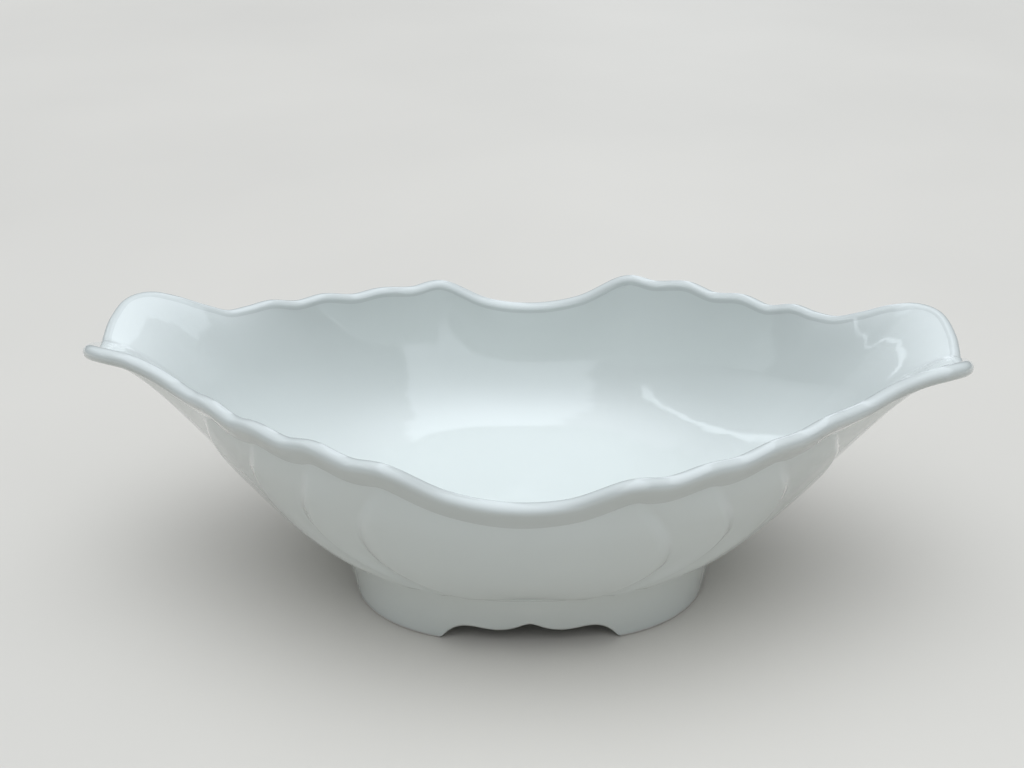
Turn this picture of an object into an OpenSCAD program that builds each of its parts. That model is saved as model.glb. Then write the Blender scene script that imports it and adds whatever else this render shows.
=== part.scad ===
// Boat-shaped porcelain serving bowl on a separately cast foot.
// Millimetres. Origin at the centre of the standing plane, +X along the
// length, +Y across, +Z up. The wall, the lip and the foot are swept surfaces
// whose points all follow from the short tables and rules below.

/* [Overall size] */
// Length over the two end lobes
bowl_len = 332; // [300:2:400]
// Width across the middle scallops
bowl_wid = 176; // [160:2:200]
// Height of the end lobes above the table
bowl_high = 103; // [98:0.5:120]

/* [Wall] */
// Thickness of the cast wall
wall = 4.2; // [3.4:0.2:5.4]
// Thickness of the rolled lip
bead_d = 5.8; // [5.4:0.2:7.6]
// How far the edge of a petal stands over the next petal
petal_step = 1.5; // [0:0.1:2.2]
// Twist that the kiln left in the rim, as a part of the usual amount
kiln_twist = 1; // [0:0.1:1.2]

/* [Foot] */
// Length of the standing outline
foot_len = 143; // [136:1:152]
// Width of the standing outline
foot_wid = 116; // [106:2:122]
// Height of the foot up to the bowl
foot_high = 28; // [26:1:31]
// How far the foot flares outward on its way up, at each end
foot_flare_x = 7.5; // [5:0.5:11]
// How far the foot flares outward on its way up, front and back
foot_flare_y = 10.5; // [8:0.5:12]
// Turn of the foot against the bowl, as it was luted on, in degrees
foot_turn = 3.5; // [-4:0.5:4]
// Offset of the foot along the bowl, as it was luted on
foot_shift = 2.2; // [-4:0.2:4]
// Thickness of the foot wall
foot_wall = 6; // [5:0.5:7.5]
// Half length of the bracket-shaped cut-out, front and back
notch_half = 34; // [28:1:38]
// Height of the cusp in the middle of the cut-out
notch_high = 10.5; // [7:0.5:12]
// Height of the bare, unglazed standing edge
bare_edge = 0.8; // [0.6:0.1:1.2]
// Thickness of the slip seam between foot and bowl
seam_high = 1.4; // [1:0.1:2]

/* [Hidden] */

// One quarter of the rim, from the middle of the side to the middle of the
// end: along, across, height, share of the kiln twist. Even rows 2 to 8 are
// the peaks of the four scallops, row 13 is the end lobe.
rim_q = [
    [0, 84.5, 77.6, 0], [21, 84.5, 80.5, 1.0], [40.5, 84.6, 89.2, 1.8], [54, 79.8, 88.5, 2.2],
    [67, 73.8, 90.6, 2.6], [78.2, 67.4, 89.2, 1.8], [89.7, 61, 91.3, 1.4], [99.8, 53.5, 90.4, 0.8],
    [109.3, 47.4, 93.0, 1.0], [117.2, 40.8, 92.6, 0.8], [124.8, 34.8, 93.2, 1.0], [133.8, 31, 97, 0.8],
    [143.7, 29, 101, 0.6], [152.6, 27.3, 102.8, 0.2], [159.2, 22.3, 102, 0], [161.8, 13.2, 98.6, 0],
    [162, 5.3, 95.2, 0], [161.4, 0, 93.6, 0]];
// The same line without scallops and lobes. Down the wall the rim's waves die
// away into it.
calm_q = [
    [0, 84.5, 83], [21, 84, 84], [40.5, 81.5, 86], [54, 78, 87], [67, 73, 88], [78, 67.3, 89],
    [89.5, 60.5, 90], [100, 53.6, 91], [109, 46.6, 92], [117, 40.4, 92.5], [125, 34, 93], [134, 27.6, 94],
    [143.5, 21, 95], [151, 15.5, 95.5], [156, 11, 95.5], [159, 7, 95], [161, 3, 94.2], [161.4, 0, 93.6]];
rows = len(rim_q) - 1;
// angle round the foot outline at which each rim row comes down to it
foot_a = [0, 8, 15, 20, 25.5, 31.5, 38, 44, 51, 57, 63, 69, 74, 78, 82, 85, 87.5, 90];

per_row = 2;                 // stations between two rows of the table
quarter = rows * per_row;    // stations in a quarter
around = 4 * quarter;        // stations all round
up = 13;                     // rings up the outside of the wall
kx = (bowl_len / 2 - 0.68 * bead_d) / 162;
ky = (bowl_wid / 2 - 0.69 * bead_d) / 84.7;
kz = (bowl_high - foot_high) / (103 - 28);
base_pow = 0.79;             // squareness of the standing outline
seam_pow = 0.94;             // squareness of the outline at the seam
zs = foot_high;              // underside of the bowl
zf = foot_high - seam_high;  // top of the foot
bead_n = 9;                  // points on the rounding of the lip
bead_up = 0.16 * bead_d;     // centre of the rounding above the top of the wall

function cr(a, b, c, d, t) = 0.5 * (2 * b + (c - a) * t + (2 * a - 5 * b + 4 * c - d) * t * t + (3 * b - a - 3 * c + d) * t * t * t);
// row i of a rim table, carried on past both ends of the quarter by mirroring
function row(tab, i) = i < 0 ? [-tab[-i][0], tab[-i][1], tab[-i][2]]
    : i > rows ? [tab[2 * rows - i][0], -tab[2 * rows - i][1], tab[2 * rows - i][2]]
    : [tab[i][0], tab[i][1], tab[i][2]];
function rimq(tab, u) = let(i = min(floor(u), rows - 1), t = u - i)
    cr(row(tab, i - 1), row(tab, i), row(tab, i + 1), row(tab, i + 2), t);
function lin(tab, u) = let(i = min(floor(u), rows - 1)) tab[i] + (tab[i + 1] - tab[i]) * (u - i);

// station k: table position u (0 at the side, rows at the end) and the signs
// of its quarter
function station(k) = let(j = ((k % around) + around) % around, q = floor(j / quarter), r = (j % quarter) / per_row)
    q == 0 ? [rows - r, 1, 1] : q == 1 ? [r, -1, 1] : q == 2 ? [rows - r, -1, -1] : [r, 1, -1];

// Point that the wall at fraction t of its height is heading for: the top of
// the wall, under the crest that the table gives, with its waves calmed.
function rim_pt(s, t) = let(calm = rimq(calm_q, s[0]), r = calm + (rimq(rim_q, s[0]) - calm) * pow(t, 2.5),
        twist = lin([for (v = rim_q) v[3]], s[0]) * kiln_twist * t)
    [r[0] * kx * s[1], r[1] * ky * s[2], zs + (r[2] - 28) * kz + twist * s[1] * s[2]
        - bead_d * (0.66 - 0.175 * ease(s[0] / rows))];

// point of a foot outline with half axes a and b and squareness e
function outline(s, a, b, e) = let(w = lin(foot_a, s[0]),
        x = a * pow(max(0, sin(w)), e) * s[1], y = b * pow(max(0, cos(w)), e) * s[2])
    [foot_shift + x * cos(foot_turn) - y * sin(foot_turn), x * sin(foot_turn) + y * cos(foot_turn)];
function seam_pt(s) = outline(s, foot_len / 2 + foot_flare_x, foot_wid / 2 + foot_flare_y, seam_pow);

// The wall leaves the foot, swells into the belly and rises to the lip.
function bez(p, q, t) = 3 * (1 - t) * (1 - t) * t * p + 3 * (1 - t) * t * t * q + t * t * t;
function ease(x) = let(y = max(0, min(1, x))) y * y * (3 - 2 * y);
function wall_pt(s, t) = let(
        e = ease(s[0] / rows), f = seam_pt(s), r = rim_pt(s, t),
        a = bez(0.55 - 0.05 * e, 0.96 - 0.28 * e, t),
        b = bez(0.13 - 0.01 * e, 0.60 + 0.31 * e, t))
    [f[0] + (r[0] - f[0]) * a, f[1] + (r[1] - f[1]) * a, zs + (r[2] - zs) * b];
function unit(v) = v / max(1e-6, norm(v));
// outward normal of the smooth wall at station k, fraction t of the way up
function wall_n(k, t) = let(
        du = wall_pt(station(k + 0.5), t) - wall_pt(station(k - 0.5), t),
        dt = wall_pt(station(k), min(1, t + 0.03)) - wall_pt(station(k), max(0, t - 0.03)))
    unit(cross(du, dt));

// Relief of the overlapping petals: it grows across each petal and drops at
// the peak of the scallop.
function petal(u) = u >= 9 ? 0 : let(c = floor(u / 2) * 2) u <= 2 ? 1 : u > 8 ? 1 - ease(u - 8) : ease((u - c) / 2);
function relief(u, t) = petal_step * petal(u) * ease(t / 0.15) * ease((1 - t) / 0.12);

function t_of(j) = j / up;
outer = [for (j = [0 : up]) let(t = t_of(j)) [for (k = [0 : around - 1]) let(s = station(k))
    wall_pt(s, t) + wall_n(k, t) * relief(s[0], t)]];
function inner_pt(k, t) = wall_pt(station(k), t) - wall_n(k, t) * wall;
inner_t = [1, 0.94, 0.88, 0.81, 0.74, 0.67, 0.6];
zc = zs - 4;                 // middle of the bowl's floor, inside
zu = zs - 9;                 // middle of its underside, which hangs inside the foot
// The floor runs on from the wall without an edge into a round bottom.
function floor_pt(k, f) = let(
        a = inner_pt(k, 0.6), n = 3.1 + 5.6 * exp(-pow(station(k)[0] / 8, 2)), m = (n - 0.7) / 0.65)
    [a[0] * f, a[1] * f, zc + (a[2] - zc) * (0.35 * f * f + 0.65 * pow(f, m))];
floor_k = [0.94, 0.87, 0.79, 0.7, 0.6, 0.48, 0.34, 0.18];
under_k = [0.2, 0.4, 0.6, 0.75, 0.9];
basin_rings = concat(
    [for (f = under_k) [for (p = outer[0]) [p[0] * f, p[1] * f, zs - (zs - zu) * (1 - pow(f / 0.9, 2))]]],
    outer,
    [for (t = inner_t) [for (k = [0 : around - 1]) inner_pt(k, t)]],
    [for (f = floor_k) [for (k = [0 : around - 1]) floor_pt(k, f)]]);

// Faces of a closed stack of rings, from the first ring up to the last, with
// a centre point below the first and above the last.
module stack(rings, first, last) {
    n = len(rings[0]);
    m = len(rings);
    pts = concat([for (r = rings) each r], [first, last]);
    polyhedron(pts, concat(
        [for (j = [0 : m - 2]) for (k = [0 : n - 1]) [j * n + k, (j + 1) * n + k, j * n + (k + 1) % n]],
        [for (j = [0 : m - 2]) for (k = [0 : n - 1]) [(j + 1) * n + k, (j + 1) * n + (k + 1) % n, j * n + (k + 1) % n]],
        [for (k = [0 : n - 1]) [k, (k + 1) % n, m * n]],
        [for (k = [0 : n - 1]) [(m - 1) * n + (k + 1) % n, (m - 1) * n + k, m * n + 1]]), convexity = 8);
}

// A closed hoop of sections: every ring is one line round the bowl.
module hoop(rings) {
    n = len(rings[0]);
    m = len(rings);
    polyhedron([for (r = rings) each r], [for (j = [0 : m - 1]) for (k = [0 : n - 1]) each
        [[j * n + k, ((j + 1) % m) * n + k, j * n + (k + 1) % n],
         [((j + 1) % m) * n + k, ((j + 1) % m) * n + (k + 1) % n, j * n + (k + 1) % n]]], convexity = 8);
}

// The bowl itself: fluted wall, belly and floor.
module basin() color([0.86, 0.89, 0.89])
    stack(basin_rings, [0, 0, zu], [0, 0, zc]);

// The rolled lip, seated on the top of the wall: level with it inside and
// standing out over it outside.
module rim_bead() color([0.92, 0.94, 0.95])
    hoop(concat([[for (k = [0 : around - 1]) outer[up][k]]],
        [for (j = [0 : bead_n - 1]) [for (k = [0 : around - 1]) let(
            o = outer[up][k], i = inner_pt(k, 1), x = unit(o - i), r = bead_d / 2,
            z = unit(cross(x, wall_pt(station(k + 0.5), 1) - wall_pt(station(k - 0.5), 1))),
            w0 = -asin(bead_up / r) + 1, w = w0 + (180 - w0) * j / (bead_n - 1))
            i + x * r * (1 + cos(w)) + z * (bead_up + r * sin(w))]],
        [[for (k = [0 : around - 1]) inner_pt(k, 1)]]));

// Outline of the foot at height z, inset by g.
function foot_ring(z, g) = let(h = min(1, z / zs), d = 0.62 * h + 0.38 * h * h)
    [for (k = [0 : around - 1]) let(p = outline(station(k), foot_len / 2 + foot_flare_x * d - g,
        foot_wid / 2 + foot_flare_y * d - g, base_pow + (seam_pow - base_pow) * h)) [p[0], p[1], z]];

// Bracket profile of the cut-out, mirrored about the middle.
notch = [[0, 1], [2.5, 0.93], [5.5, 0.76], [9, 0.64], [13, 0.6], [17.5, 0.66], [22, 0.75], [25.5, 0.74], [28.5, 0.6], [31, 0.34], [34, 0]];
module notch_shape() {
    half = [for (i = [0 : len(notch) - 1]) [notch[i][0] * notch_half / 34, notch[i][1] * notch_high]];
    polygon(concat([[-notch_half, -5]], [for (i = [len(half) - 1 : -1 : 1]) [-half[i][0], half[i][1]]],
        [for (p = half) p], [[notch_half, -5]]));
}
module notch_cut() translate([foot_shift, 0, 0]) rotate(foot_turn)
    translate([0, foot_wid, 0]) rotate([90, 0, 0]) linear_extrude(height = 2 * foot_wid) notch_shape();

// The foot: a tapered ring, open underneath, with its bracket cut-outs.
module pedestal_foot() color([0.80, 0.84, 0.84])
    difference() {
        hoop([for (z = [bare_edge, 5, 9, 13, 17, 21, 25, zf]) each [foot_ring(z, 0)],
              for (z = [zf, 20, 13, 6, bare_edge]) each [foot_ring(z, foot_wall - 1.2 * z / zs)]]);
        notch_cut();
    }

// The slip that lutes the foot on: a soft band proud of both.
module foot_joint_slip() color([0.83, 0.86, 0.86])
    hoop([foot_ring(zf, 0.1), foot_ring(zf + 0.2, -0.5), foot_ring(zf + seam_high / 2, -0.8), foot_ring(zs - 0.2, -0.5),
          foot_ring(zs, 0.1), foot_ring(zs, foot_wall - 1), foot_ring(zf, foot_wall - 1.2)]);

// The bare edges that the bowl stands on, left and right of the cut-outs.
module foot_standing_edges() color([0.88, 0.84, 0.76])
    difference() {
        linear_extrude(height = bare_edge) difference() {
            polygon([for (p = foot_ring(0, 0)) [p[0], p[1]]]);
            polygon([for (p = foot_ring(0, foot_wall)) [p[0], p[1]]]);
        }
        translate([foot_shift, 0, 0]) rotate(foot_turn)
            translate([-notch_half, -foot_wid, -1]) cube([2 * notch_half, 2 * foot_wid, bare_edge + 2]);
    }

basin();
rim_bead();
pedestal_foot();
foot_joint_slip();
foot_standing_edges();
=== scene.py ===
"""White porcelain footed serving bowl: its visible pieces, glaze, floor, light and camera."""
import math

import bmesh
import bpy
import numpy as np
from mathutils import Matrix, Vector


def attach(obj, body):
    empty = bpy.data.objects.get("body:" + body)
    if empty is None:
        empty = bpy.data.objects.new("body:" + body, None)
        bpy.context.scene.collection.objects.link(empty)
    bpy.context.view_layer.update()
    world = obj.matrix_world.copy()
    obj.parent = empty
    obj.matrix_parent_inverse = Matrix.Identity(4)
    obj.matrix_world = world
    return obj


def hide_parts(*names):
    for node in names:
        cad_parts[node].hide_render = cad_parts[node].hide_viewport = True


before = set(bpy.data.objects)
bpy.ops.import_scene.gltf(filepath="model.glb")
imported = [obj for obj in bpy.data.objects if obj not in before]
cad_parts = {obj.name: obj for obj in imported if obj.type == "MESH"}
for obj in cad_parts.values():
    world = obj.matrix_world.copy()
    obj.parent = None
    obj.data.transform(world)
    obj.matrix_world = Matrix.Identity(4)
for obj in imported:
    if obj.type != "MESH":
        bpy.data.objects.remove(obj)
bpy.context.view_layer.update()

# ---- the bowl's surfaces, in millimetres, from the same rules as the CAD part ----
LEN, WID, HIGH = 332.0, 176.0, 103.0
WALL, BEAD, STEP = 4.2, 5.8, 1.5
FOOT_L, FOOT_W, FOOT_H = 143.0, 116.0, 28.0
FLARE_X, FLARE_Y, TURN, SHIFT, FOOT_WALL = 7.5, 10.5, math.radians(3.5), 2.2, 6.0
NOTCH_HALF, NOTCH_HIGH, BARE, SEAM = 34.0, 10.5, 0.8, 1.4
RIM = np.array([
    [0, 84.5, 77.6, 0], [21, 84.5, 80.5, 1.0], [40.5, 84.6, 89.2, 1.8], [54, 79.8, 88.5, 2.2],
    [67, 73.8, 90.6, 2.6], [78.2, 67.4, 89.2, 1.8], [89.7, 61, 91.3, 1.4], [99.8, 53.5, 90.4, 0.8],
    [109.3, 47.4, 93.0, 1.0], [117.2, 40.8, 92.6, 0.8], [124.8, 34.8, 93.2, 1.0], [133.8, 31, 97, 0.8],
    [143.7, 29, 101, 0.6], [152.6, 27.3, 102.8, 0.2], [159.2, 22.3, 102, 0], [161.8, 13.2, 98.6, 0],
    [162, 5.3, 95.2, 0], [161.4, 0, 93.6, 0]])
CALM = np.array([
    [0, 84.5, 83], [21, 84, 84], [40.5, 81.5, 86], [54, 78, 87], [67, 73, 88], [78, 67.3, 89],
    [89.5, 60.5, 90], [100, 53.6, 91], [109, 46.6, 92], [117, 40.4, 92.5], [125, 34, 93], [134, 27.6, 94],
    [143.5, 21, 95], [151, 15.5, 95.5], [156, 11, 95.5], [159, 7, 95], [161, 3, 94.2], [161.4, 0, 93.6]])
FOOT_A = np.array([0, 8, 15, 20, 25.5, 31.5, 38, 44, 51, 57, 63, 69, 74, 78, 82, 85, 87.5, 90], float)
ROWS = 17
KX = (LEN / 2 - 0.68 * BEAD) / 162.0
KY = (WID / 2 - 0.69 * BEAD) / 84.7
KZ = (HIGH - FOOT_H) / (103.0 - 28)
ZS, ZF = FOOT_H, FOOT_H - SEAM


def ease(x):
    y = np.clip(x, 0, 1)
    return y * y * (3 - 2 * y)


def catmull(table, u):
    i = np.clip(np.floor(u).astype(int), 0, ROWS - 1)
    t = u - i
    a, b, c, d = table[i], table[i + 1], table[i + 2], table[i + 3]
    if table.ndim > 1:
        t = t[..., None]
    return 0.5 * (2 * b + (c - a) * t + (2 * a - 5 * b + 4 * c - d) * t ** 2 + (3 * b - a - 3 * c + d) * t ** 3)


RIM_T = np.vstack([RIM[1] * [-1, 1, 1, -1], RIM, RIM[ROWS - 1] * [1, -1, 1, -1]])
CALM_T = np.vstack([CALM[1] * [-1, 1, 1], CALM, CALM[ROWS - 1] * [1, -1, 1]])
FOOT_T = np.concatenate([[-FOOT_A[1]], FOOT_A, [180 - FOOT_A[ROWS - 1]]])


def station(p):
    """Perimeter position p, counter-clockwise from the +X end, as (u, sign of x, sign of y)."""
    p = np.mod(p, 4 * ROWS)
    q = np.clip(np.floor(p / ROWS).astype(int), 0, 3)
    r = p - q * ROWS
    u = np.where(q % 2 == 0, ROWS - r, r)
    return u, np.where((q == 0) | (q == 3), 1.0, -1.0), np.where(q < 2, 1.0, -1.0)


def place(u, sx, sy):
    """Perimeter position of table position u in the quarter with those signs."""
    q = np.where(sy > 0, np.where(sx > 0, 0, 1), np.where(sx > 0, 3, 2))
    return np.select([q == 0, q == 1, q == 2], [ROWS - u, ROWS + u, 3 * ROWS - u], 3 * ROWS + u)


def rim_pt(u, sx, sy, t):
    r, calm = catmull(RIM_T, u), catmull(CALM_T, u)
    w = (t ** 2.5)[..., None]
    twist = r[..., 3] * t
    r = calm + (r[..., :3] - calm) * w
    return np.stack([r[..., 0] * KX * sx, r[..., 1] * KY * sy,
                     ZS + (r[..., 2] - 28) * KZ + twist * sx * sy - BEAD * (0.66 - 0.175 * ease(u / ROWS))], -1)


def outline(u, sx, sy, a, b, e):
    w = np.radians(catmull(FOOT_T, u))
    x = a * np.maximum(0, np.sin(w)) ** e * sx
    y = b * np.maximum(0, np.cos(w)) ** e * sy
    return x, y


def turned(x, y):
    c, s = math.cos(TURN), math.sin(TURN)
    return SHIFT + x * c - y * s, x * s + y * c


def bez(p, q, t):
    return 3 * (1 - t) ** 2 * t * p + 3 * (1 - t) * t * t * q + t ** 3


def wall_pt(p, t):
    u, sx, sy = station(p)
    e = ease(u / ROWS)
    fx, fy = turned(*outline(u, sx, sy, FOOT_L / 2 + FLARE_X, FOOT_W / 2 + FLARE_Y, 0.94))
    r = rim_pt(u, sx, sy, t)
    a = bez(0.55 - 0.05 * e, 0.96 - 0.28 * e, t)
    b = bez(0.13 - 0.01 * e, 0.60 + 0.31 * e, t)
    return np.stack([fx + (r[..., 0] - fx) * a, fy + (r[..., 1] - fy) * a, ZS + (r[..., 2] - ZS) * b], -1)


def unit(v):
    return v / np.maximum(1e-9, np.linalg.norm(v, axis=-1, keepdims=True))


def wall_n(p, t):
    du = wall_pt(p + 0.2, t) - wall_pt(p - 0.2, t)
    dt = wall_pt(p, np.minimum(1, t + 0.03)) - wall_pt(p, np.maximum(0, t - 0.03))
    return unit(np.cross(du, dt))


# ---- petals: crease lines drift outward down the wall, then curl in under the middle petal ----
CREASE = np.array([
    [0.0] * 11,
    [1.3, 1.8, 2.6, 3.3, 3.6, 3.55, 3.35, 3.05, 2.7, 2.3, 2.0],
    [2.3, 3.0, 3.9, 4.8, 5.45, 5.65, 5.45, 5.1, 4.7, 4.35, 4.0],
    [3.6, 4.6, 5.8, 7.0, 7.8, 7.95, 7.7, 7.3, 6.8, 6.4, 6.0],
    [5.6, 6.8, 8.5, 10.2, 11.3, 11.5, 11.0, 10.3, 9.5, 8.8, 8.0]])
CREASE_U = np.array([0.0, 2, 4, 6, 8])


def smooth_lookup(values, t):
    n = len(values) - 1
    ext = np.concatenate([[2 * values[0] - values[1]], values, [2 * values[n] - values[n - 1]]])
    x = np.clip(t, 0, 1) * n
    i = np.clip(np.floor(x).astype(int), 0, n - 1)
    f = x - i
    a, b, c, d = ext[i], ext[i + 1], ext[i + 2], ext[i + 3]
    return 0.5 * (2 * b + (c - a) * f + (2 * a - 5 * b + 4 * c - d) * f ** 2 + (3 * b - a - 3 * c + d) * f ** 3)


def bent(v, t):
    """Rim position v (0 to ROWS) followed down the wall to height t, along the petals."""
    knots = [smooth_lookup(CREASE[i], t) for i in range(5)]
    return np.interp(v, np.append(CREASE_U, ROWS), np.append(knots, ROWS))


def petal(v):
    c = np.floor(v / 2) * 2
    p = np.where(v <= 2, 0.25 + 0.75 * ease(v / 2), ease((v - c) / 2))
    p = np.where(v > 8, 0.0, p)
    return p


def relief(v, t):
    # depth of the step fades towards the ends and at the lip
    return STEP * 1.05 * petal(v) * ease((t - 0.01) / 0.09) * ease((1 - t) / 0.3)


# columns of one quarter, from the side (0) to the end (ROWS), doubled at the creases
EPS = 0.2
base = [i / 8 for i in range(ROWS * 8 + 1)]
cols = sorted(set([b for b in base if min(abs(b - c) for c in (2, 4, 6, 8)) > 0.21] +
                  [c + s * EPS for c in (2, 4, 6, 8) for s in (-1, -0.6, -0.25, 0, 0.25, 0.6, 1)]))
cols = np.array(cols)


def around_columns():
    """(v, sign x, sign y) once round, counter-clockwise from the +X end."""
    out = []
    for sx, sy, order in ((1, 1, cols[::-1]), (-1, 1, cols), (-1, -1, cols[::-1]), (1, -1, cols)):
        out += [(v, sx, sy) for v in order[:-1]]
    a = np.array(out)
    return a[:, 0], a[:, 1], a[:, 2]


V, SX, SY = around_columns()
N = len(V)


def relief_at(v, t):
    # a short ramp across each crease instead of a cliff, as the glaze leaves it
    r = relief(v, t)
    for c in (2, 4, 6, 8):
        near = np.abs(v - c) < EPS * 1.01
        hi_ = relief(np.full_like(v, c - 1e-3), t)
        lo_ = relief(np.full_like(v, c + 1e-3), t) * (c < 8)
        k = ease((v - (c - EPS)) / (2 * EPS))
        r = np.where(near, hi_ * (1 - k) + lo_ * k, r)
    return r


def skin(t, offset, with_relief):
    u = bent(V, t)
    p = place(u, SX, SY)
    tt = np.full_like(u, t)
    x = wall_pt(p, tt)
    n = wall_n(p, tt)
    r = relief_at(V, t) if with_relief else np.zeros(N)
    return x + n * (offset + r)[:, None]


# ---- meshes ----
SCALE = 0.001


def mesh_from(name, verts, faces, sharp=50):
    me = bpy.data.meshes.new(name)
    me.from_pydata([tuple(p) for p in np.asarray(verts) * SCALE], [], faces)
    me.validate()
    me.update()
    me.shade_smooth()
    me.set_sharp_from_angle(angle=math.radians(sharp))
    ob = bpy.data.objects.new(name, me)
    bpy.context.scene.collection.objects.link(ob)
    return ob


def quads(m, n, wrap_m, wrap_n, start=0):
    f = []
    for j in range(m if wrap_m else m - 1):
        a, b = start + j * n, start + ((j + 1) % m) * n
        for k in range(n if wrap_n else n - 1):
            l = (k + 1) % n
            f.append((a + k, a + l, b + l, b + k))
    return f


def stack(name, rings, first, last, sharp=50):
    """Rings counter-clockwise, from underneath up the outside and down the inside."""
    m, n = len(rings), len(rings[0])
    v = np.concatenate([np.concatenate(rings), [first, last]])
    f = quads(m, n, False, True)
    f += [((k + 1) % n, k, m * n) for k in range(n)]
    f += [((m - 1) * n + k, (m - 1) * n + (k + 1) % n, m * n + 1) for k in range(n)]
    return mesh_from(name, v, f, sharp)


def hoop(name, rings, sharp=50):
    m, n = len(rings), len(rings[0])
    return mesh_from(name, np.concatenate(rings), quads(m, n, True, True), sharp)


# basin
t_out = np.concatenate([np.linspace(0, 0.12, 14)[:-1], np.linspace(0.12, 1, 60)])
t_in = np.linspace(1, 0.6, 30)
ZC, ZU = ZS - 4.0, ZS - 9.0
foot_line = skin(0.0, 0.0, True)
rings = []
for f in (0.1, 0.2, 0.3, 0.4, 0.5, 0.6, 0.68, 0.76, 0.83, 0.9):
    rings.append(np.stack([foot_line[:, 0] * f, foot_line[:, 1] * f,
                           np.full(N, ZS - (ZS - ZU) * (1 - (f / 0.9) ** 2))], -1))
rings += [skin(t, 0.0, True) for t in t_out]
rings += [skin(t, -WALL, False) for t in t_in]
fa = rings[-1]
fu = station(place(bent(V, 0.6), SX, SY))[0]
fm = (3.1 + 5.6 * np.exp(-(fu / 8) ** 2) - 0.7) / 0.65
for f in (0.985, 0.97, 0.95, 0.93, 0.91, 0.885, 0.86, 0.83, 0.8, 0.765, 0.73, 0.69, 0.65, 0.6, 0.55, 0.5, 0.44, 0.38, 0.31, 0.24, 0.16, 0.08):
    rings.append(np.stack([fa[:, 0] * f, fa[:, 1] * f,
                           ZC + (fa[:, 2] - ZC) * (0.35 * f * f + 0.65 * f ** fm)], -1))
basin = stack("bowl_basin", rings, [0, 0, ZU], [0, 0, ZC], 65)

# rolled lip: a round section with small fillets down onto the wall
P = place(V, SX, SY)
one = np.ones(N)
o = wall_pt(P, one)
nrm = wall_n(P, one)
i_ = o - nrm * WALL
ax = unit(o - i_)
az = unit(np.cross(ax, wall_pt(P + 0.25, one) - wall_pt(P - 0.25, one)))
R = BEAD / 2
UP = 0.16 * BEAD


def cubic(p0, p1, p2, p3, n):
    s = np.linspace(0, 1, n)[:, None]
    p0, p1, p2, p3 = map(np.array, (p0, p1, p2, p3))
    return (1 - s) ** 3 * p0 + 3 * (1 - s) ** 2 * s * p1 + 3 * (1 - s) * s * s * p2 + s ** 3 * p3


def on_circle(deg):
    """Point of the rounding, as (outward from the inner face, up from the top of the wall)."""
    w = math.radians(deg)
    return np.array([R + R * math.cos(w), UP + R * math.sin(w)])


w1 = -8.0
tan1 = np.array([-math.sin(math.radians(w1)), math.cos(math.radians(w1))])
prof = [np.array([1.2, -5.0]), np.array([WALL - 1.2, -6.0])]
prof += list(cubic((WALL - 0.2, -6.4), (WALL + 0.15, -4.0), on_circle(w1) - 2.3 * tan1, on_circle(w1), 12))
prof += [on_circle(a) for a in np.linspace(w1, 180, 24)[1:]]
prof += [np.array([0.02, -0.4]), np.array([0.06, -1.2]), np.array([0.35, -3.0])]
bead = hoop("rolled_lip", [i_ + ax * a + az * b for a, b in prof], 60)

# foot
FCOLS = np.array([i / 16 for i in range(ROWS * 16 + 1)])


def foot_columns():
    out = []
    for sx, sy, order in ((1, 1, FCOLS[::-1]), (-1, 1, FCOLS), (-1, -1, FCOLS[::-1]), (1, -1, FCOLS)):
        out += [(v, sx, sy) for v in order[:-1]]
    a = np.array(out)
    return a[:, 0], a[:, 1], a[:, 2]


FU, FX, FY = foot_columns()
NOTCH = np.array([[0, 1], [2.5, 0.93], [5.5, 0.76], [9, 0.64], [13, 0.6], [17.5, 0.66], [22, 0.75],
                  [25.5, 0.74], [28.5, 0.6], [31, 0.34], [34, 0.0], [36, -0.3]])


def notch(x):
    s = sum(np.interp(np.abs(x) + d, NOTCH[:, 0], NOTCH[:, 1]) for d in (-1, -0.5, 0, 0.5, 1)) / 5
    return np.maximum(BARE, s * NOTCH_HIGH)


def foot_local(z, g):
    hh = np.minimum(1, z / ZS)
    d = 0.62 * hh + 0.38 * hh * hh
    w = np.radians(catmull(FOOT_T, FU))
    e = 0.79 + 0.15 * hh
    return ((FOOT_L / 2 + FLARE_X * d - g) * np.maximum(0, np.sin(w)) ** e * FX,
            (FOOT_W / 2 + FLARE_Y * d - g) * np.maximum(0, np.cos(w)) ** e * FY)


def foot_pt(z, g):
    x, y = turned(*foot_local(z, g))
    return np.stack([x, y, z + 0 * x], -1)


def gap(z):
    return FOOT_WALL - 1.2 * z / ZS


zo = notch(foot_local(4.0, 0.0)[0])
zi = notch(foot_local(4.0, FOOT_WALL)[0])
ro = 0.06 + 1.94 * ease((zo - BARE) / 3.0)
ri = 0.06 + 1.94 * ease((zi - BARE) / 3.0)
sec = []
for s in np.linspace(0, 1, 16):
    sec.append(foot_pt(ZF + (zo + ro - ZF) * s, 0.0))
for a in np.radians([18, 36, 54, 72, 90]):
    sec.append(foot_pt(zo + ro * (1 - math.sin(a)), ro * (1 - math.cos(a))))
for a in np.radians([90, 72, 54, 36, 18, 0]):
    z = zi + ri * (1 - math.sin(a))
    sec.append(foot_pt(z, gap(z) - ri * (1 - math.cos(a))))
for s in np.linspace(0, 1, 12)[1:]:
    z = zi + ri + (ZF - zi - ri) * s
    sec.append(foot_pt(z, gap(z)))
foot = hoop("pedestal_foot_ring", sec[::-1], 45)

# slip seam
slip = []
for s in np.linspace(0, 1, 11):
    z = ZF - 0.25 + (SEAM + 0.4) * s
    slip.append(foot_pt(np.full(len(FU), z), 0.12 - 0.5 * math.sin(math.pi * s)))
slip.append(foot_pt(np.full(len(FU), ZS + 0.15), 4.0))
slip.append(foot_pt(np.full(len(FU), ZF - 0.25), 4.0))
seam = hoop("foot_slip_seam", slip, 60)


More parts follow.
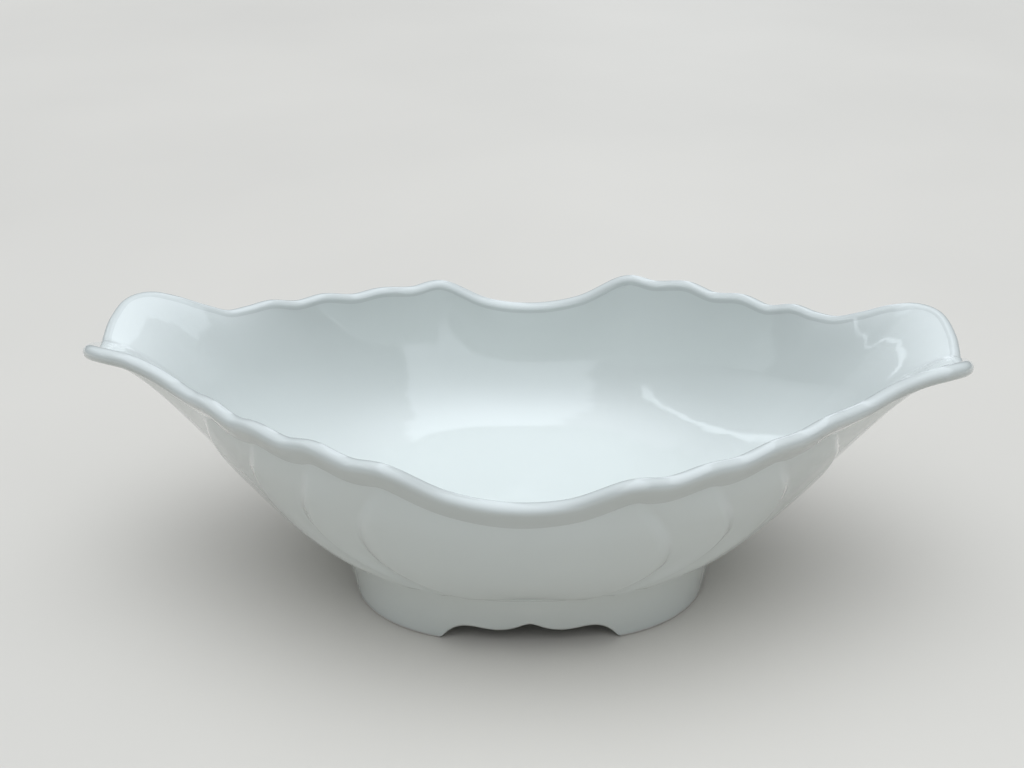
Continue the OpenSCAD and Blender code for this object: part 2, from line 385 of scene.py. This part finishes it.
# bare standing edges
def arc_points(g, n):
    a, b = FOOT_L / 2 - g, FOOT_W / 2 - g
    w0 = math.asin((NOTCH_HALF / a) ** (1 / 0.79))
    w = np.linspace(w0, math.pi - w0, n)
    c = np.cos(w)
    return a * np.sin(w) ** 0.79, b * np.sign(c) * np.abs(c) ** 0.79


def standing(side):
    n = 220
    secs = [(0.0, BARE), (0.0, 0.35), (0.12, 0.1), (0.4, 0.0), (FOOT_WALL - 0.4, 0.0), (FOOT_WALL - 0.12, 0.1),
            (FOOT_WALL, 0.35), (FOOT_WALL, BARE)]
    rows_ = []
    for g, z in secs:
        x, y = arc_points(g, n)
        x, y = turned(x * side, y * side)
        rows_.append(np.stack([x, y, np.full(n, z)], -1))
    m = len(rows_)
    v = np.concatenate(rows_)
    f = quads(m, n, True, False)
    f.append(tuple(j * n for j in range(m)))
    f.append(tuple(j * n + n - 1 for j in range(m))[::-1])
    return v, f


va, fa = standing(1)
vb, fb = standing(-1)
edges = mesh_from("standing_edges", np.concatenate([va, vb]), fa + [tuple(i + len(va) for i in q) for q in fb], 40)

PIECES = [basin, bead, foot, seam, edges]
for ob in PIECES:
    # every shell closed, with its faces turned outward
    bm = bmesh.new()
    bm.from_mesh(ob.data)
    bmesh.ops.recalc_face_normals(bm, faces=bm.faces)
    bm.to_mesh(ob.data)
    bm.free()


# ---- materials ----
def nodes_of(name):
    m = bpy.data.materials.new(name)
    m.use_nodes = True
    nt = m.node_tree
    nt.nodes.clear()
    out = nt.nodes.new("ShaderNodeOutputMaterial")
    bsdf = nt.nodes.new("ShaderNodeBsdfPrincipled")
    nt.links.new(bsdf.outputs["BSDF"], out.inputs["Surface"])
    return m, nt, bsdf


def noise(nt, coord, scale, detail=3.0, rough=0.5):
    n = nt.nodes.new("ShaderNodeTexNoise")
    n.inputs["Scale"].default_value = scale
    n.inputs["Detail"].default_value = detail
    n.inputs["Roughness"].default_value = rough
    nt.links.new(coord.outputs["Object"], n.inputs["Vector"])
    return n


def ramp(nt, src, stops):
    r = nt.nodes.new("ShaderNodeValToRGB")
    e = r.color_ramp.elements
    e[0].position, e[0].color = stops[0][0], stops[0][1]
    e[1].position, e[1].color = stops[-1][0], stops[-1][1]
    for pos, col in stops[1:-1]:
        x = e.new(pos)
        x.color = col
    nt.links.new(src, r.inputs["Fac"])
    return r


def mix(nt, fac, a, b):
    m = nt.nodes.new("ShaderNodeMix")
    m.data_type = "RGBA"
    nt.links.new(fac, m.inputs[0])
    nt.links.new(a, m.inputs[6])
    nt.links.new(b, m.inputs[7])
    return m


def glaze(name, tint, speck_at):
    m, nt, b = nodes_of(name)
    co = nt.nodes.new("ShaderNodeTexCoord")
    # tint scales the whole body colour of this copy of the glaze; below 1 it is painted shade, above 1 painted light
    body = ramp(nt, noise(nt, co, 9.0, 2.0).outputs["Fac"],
                [(0.3, (0.600 * tint, 0.640 * tint, 0.612 * tint, 1)), (0.7, (0.620 * tint, 0.658 * tint, 0.630 * tint, 1))])
    # iron specks in the body, a few millimetres apart at most
    vo = nt.nodes.new("ShaderNodeTexVoronoi")
    vo.inputs["Scale"].default_value = 45.0
    nt.links.new(co.outputs["Object"], vo.inputs["Vector"])
    dots = ramp(nt, vo.outputs["Distance"], [(0.0, (1, 1, 1, 1)), (speck_at, (1, 1, 1, 1)), (speck_at * 1.8, (0, 0, 0, 1))])
    pick = ramp(nt, vo.outputs["Color"], [(0.0, (0, 0, 0, 1)), (0.80, (0, 0, 0, 1)), (0.82, (1, 1, 1, 1))])
    both = nt.nodes.new("ShaderNodeMath")
    both.operation = "MULTIPLY"
    nt.links.new(dots.outputs["Color"], both.inputs[0])
    nt.links.new(pick.outputs["Color"], both.inputs[1])
    dark = nt.nodes.new("ShaderNodeRGB")
    dark.outputs[0].default_value = (0.30, 0.26, 0.21, 1)
    col = mix(nt, both.outputs[0], body.outputs["Color"], dark.outputs[0])
    nt.links.new(col.outputs[2], b.inputs["Base Color"])
    rough = ramp(nt, noise(nt, co, 30.0, 3.0).outputs["Fac"], [(0.35, (0.055, 0.055, 0.055, 1)), (0.7, (0.10, 0.10, 0.10, 1))])
    nt.links.new(rough.outputs["Color"], b.inputs["Roughness"])
    b.inputs["IOR"].default_value = 1.52
    b.inputs["Coat Weight"].default_value = 1.0
    b.inputs["Coat Roughness"].default_value = 0.03
    b.inputs["Coat IOR"].default_value = 1.5
    b.inputs["Subsurface Weight"].default_value = 0.06
    b.inputs["Subsurface Radius"].default_value = (0.004, 0.004, 0.0035)
    b.inputs["Subsurface Scale"].default_value = 1.0
    # the fired glaze is never quite flat: a slow swell and a fine orange-peel
    swell = noise(nt, co, 22.0, 2.0)
    fine = noise(nt, co, 420.0, 2.0)
    b1 = nt.nodes.new("ShaderNodeBump")
    b1.inputs["Strength"].default_value = 0.35
    b1.inputs["Distance"].default_value = 0.0009
    nt.links.new(swell.outputs["Fac"], b1.inputs["Height"])
    b2 = nt.nodes.new("ShaderNodeBump")
    b2.inputs["Strength"].default_value = 0.10
    b2.inputs["Distance"].default_value = 0.00012
    nt.links.new(fine.outputs["Fac"], b2.inputs["Height"])
    nt.links.new(b1.outputs["Normal"], b2.inputs["Normal"])
    nt.links.new(b2.outputs["Normal"], b.inputs["Normal"])
    return m


def bare_clay(name):
    m, nt, b = nodes_of(name)
    co = nt.nodes.new("ShaderNodeTexCoord")
    col = ramp(nt, noise(nt, co, 120.0, 4.0, 0.6).outputs["Fac"],
               [(0.3, (0.52, 0.50, 0.46, 1)), (0.55, (0.60, 0.585, 0.55, 1)), (0.8, (0.66, 0.65, 0.615, 1))])
    nt.links.new(col.outputs["Color"], b.inputs["Base Color"])
    b.inputs["Roughness"].default_value = 0.8
    bp = nt.nodes.new("ShaderNodeBump")
    bp.inputs["Strength"].default_value = 0.4
    bp.inputs["Distance"].default_value = 0.0001
    nt.links.new(noise(nt, co, 1500.0, 3.0).outputs["Fac"], bp.inputs["Height"])
    nt.links.new(bp.outputs["Normal"], b.inputs["Normal"])
    return m


glaze_bowl = glaze("glazed_porcelain", 1.0, 0.012)
# the rolled lip: the same glaze painted 12% darker, painted shade that holds down the light its top catches
glaze_lip_painted_shade = glaze("glazed_porcelain_painted_shade_on_the_lip", 0.88, 0.012)
# the foot and the slip seam: the same glaze painted 12% lighter, painted light that lifts them out of the shade under
# the belly
glaze_foot_painted_light = glaze("glazed_porcelain_painted_light_on_the_foot", 1.12, 0.012)
clay = bare_clay("bare_porcelain")
for ob, node, sl, mat in ((basin, "basin", "glaze", glaze_bowl), (bead, "rim_bead", "glaze", glaze_lip_painted_shade),
                          (foot, "pedestal_foot", "glaze", glaze_foot_painted_light), (seam, "foot_joint_slip", "glaze", glaze_foot_painted_light),
                          (edges, "foot_standing_edges", "bare_porcelain", clay)):
    ob.data.materials.clear()
    ob.data.materials.append(mat)
    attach(ob, "root")
    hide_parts(node)

# ---- floor, light, camera ----
bpy.ops.mesh.primitive_plane_add(size=6.0, location=(0, 0.6, -0.0002))
floor = bpy.context.object
floor.name = "studio_floor"
bpy.context.scene.view_settings.view_transform = "Standard"
m, nt, b = nodes_of("pale_floor")
co = nt.nodes.new("ShaderNodeTexCoord")
col = ramp(nt, noise(nt, co, 3.0, 3.0).outputs["Fac"], [(0.3, (0.556, 0.533, 0.482, 1)), (0.7, (0.588, 0.563, 0.508, 1))])
nt.links.new(col.outputs["Color"], b.inputs["Base Color"])
b.inputs["Roughness"].default_value = 0.55
b.inputs["Specular IOR Level"].default_value = 0.3
floor.data.materials.append(m)

BOX_L, BOX_R, BOX_POWER, BOX_LIGHT, THIN_POWER, DOME_LOW, DOME_HIGH = -0.30, 0.90, 0.90, 0.0, 1.6, 0.05, 3.4

# One soft studio: a dim surround that brightens overhead, a long pale-blue softbox that runs from behind the camera
# up over the bowl, and a narrow strip on the left. All of it is a gradient of direction only.
world = bpy.data.worlds.new("studio")
bpy.context.scene.world = world
world.use_nodes = True
wt = world.node_tree
bg = wt.nodes["Background"]
wc = wt.nodes.new("ShaderNodeTexCoord")
sep = wt.nodes.new("ShaderNodeSeparateXYZ")
wt.links.new(wc.outputs["Generated"], sep.inputs[0])


def calc(op, a, b=0.0, clamp=False):
    n = wt.nodes.new("ShaderNodeMath")
    n.operation = op
    n.use_clamp = clamp
    for k, v in enumerate((a, b)):
        if isinstance(v, (int, float)):
            n.inputs[k].default_value = v
        else:
            wt.links.new(v, n.inputs[k])
    return n.outputs[0]


def band(v, lo, hi, soft):
    """1 between lo and hi, falling to 0 over soft on both sides."""
    a = calc("DIVIDE", calc("SUBTRACT", v, lo - soft / 2), soft, True)
    b = calc("DIVIDE", calc("SUBTRACT", hi + soft / 2, v), soft, True)
    return calc("MULTIPLY", a, b)


X_, Y_, Z_ = sep.outputs
side = calc("DIVIDE", X_, calc("SQRT", calc("ADD", calc("MULTIPLY", Y_, Y_), calc("MULTIPLY", Z_, Z_))))
wob = wt.nodes.new("ShaderNodeTexNoise")
wob.inputs["Scale"].default_value = 6.0
wob.inputs["Detail"].default_value = 2.0
wt.links.new(wc.outputs["Generated"], wob.inputs["Vector"])
side_w = calc("ADD", side, calc("MULTIPLY", calc("SUBTRACT", wob.outputs["Fac"], 0.5), 0.22))
# the softbox is wide low down behind the camera and tapers as it passes overhead to the rear
ahead = calc("DIVIDE", calc("SUBTRACT", 0.0, Y_), calc("SQRT", calc("ADD", calc("MULTIPLY", Y_, Y_), calc("MULTIPLY", Z_, Z_))))
taper = calc("ADD", 0.16, calc("MULTIPLY", calc("DIVIDE", calc("ADD", ahead, 0.64), 1.14, True), 0.84))
scaled = calc("DIVIDE", side_w, taper)
main = calc("MULTIPLY", band(scaled, BOX_L, BOX_R, 0.05), band(Z_, 0.0, 9.0, 0.06))
thin = calc("MULTIPLY", band(side_w, -1.00, -0.90, 0.03), band(Z_, 0.45, 9.0, 0.1))
low = calc("POWER", calc("MULTIPLY", Z_, 1.0, True), 3.3)
lean = calc("SUBTRACT", 1.0, calc("MULTIPLY", Y_, 0.30))
dome_light = calc("ADD", DOME_LOW, calc("MULTIPLY", calc("MULTIPLY", low, lean), DOME_HIGH - DOME_LOW))
dome_shine = calc("ADD", 0.10, calc("MULTIPLY", calc("POWER", calc("MULTIPLY", Z_, 1.0, True), 1.5), 1.0))
path = wt.nodes.new("ShaderNodeLightPath")
gloss = path.outputs["Is Glossy Ray"]
dome = calc("ADD", calc("MULTIPLY", dome_light, calc("SUBTRACT", 1.0, gloss)), calc("MULTIPLY", dome_shine, gloss))
# as light it is dim, so that the outside of the bowl stays in soft shade; in the glaze it shows bright
power = calc("ADD", BOX_LIGHT, calc("MULTIPLY", gloss, BOX_POWER - BOX_LIGHT))
soft_ = calc("ADD", calc("MULTIPLY", main, power), calc("MULTIPLY", thin, calc("MULTIPLY", gloss, THIN_POWER)))
tint = wt.nodes.new("ShaderNodeMix")
tint.data_type = "RGBA"
wt.links.new(calc("MULTIPLY", soft_, 1.0, True), tint.inputs[0])
tint.inputs[6].default_value = (0.945, 0.99, 1.065, 1)
tint.inputs[7].default_value = (0.86, 0.93, 1.0, 1)
wt.links.new(tint.outputs[2], bg.inputs["Color"])
wt.links.new(calc("ADD", dome, soft_), bg.inputs["Strength"])

F_PX, DIST = 1300.0, 512.8
YAW, PITCH, ROLL, OX, OZ = math.radians(4.19), math.radians(27.26), math.radians(-0.76), -4.2, 17.48
cf = Vector((-math.sin(YAW) * math.cos(PITCH), math.cos(YAW) * math.cos(PITCH), -math.sin(PITCH)))
cr_ = Vector((math.cos(YAW), math.sin(YAW), 0))
cu = cr_.cross(cf)
right = cr_ * math.cos(ROLL) + cu * math.sin(ROLL)
up = cu * math.cos(ROLL) - cr_ * math.sin(ROLL)
pos = Vector((0, 0, 60)) - cf * DIST + right * OX + up * OZ
cam_data = bpy.data.cameras.new("camera")
cam_data.sensor_width = 36.0
cam_data.lens = F_PX / 1024 * 36.0
cam_data.clip_start = 0.01
cam_data.dof.use_dof = False
cam = bpy.data.objects.new("camera", cam_data)
bpy.context.scene.collection.objects.link(cam)
rot = Matrix((right, up, -cf)).transposed().to_4x4()
cam.matrix_world = Matrix.Translation(pos * SCALE) @ rot
bpy.context.scene.camera = cam
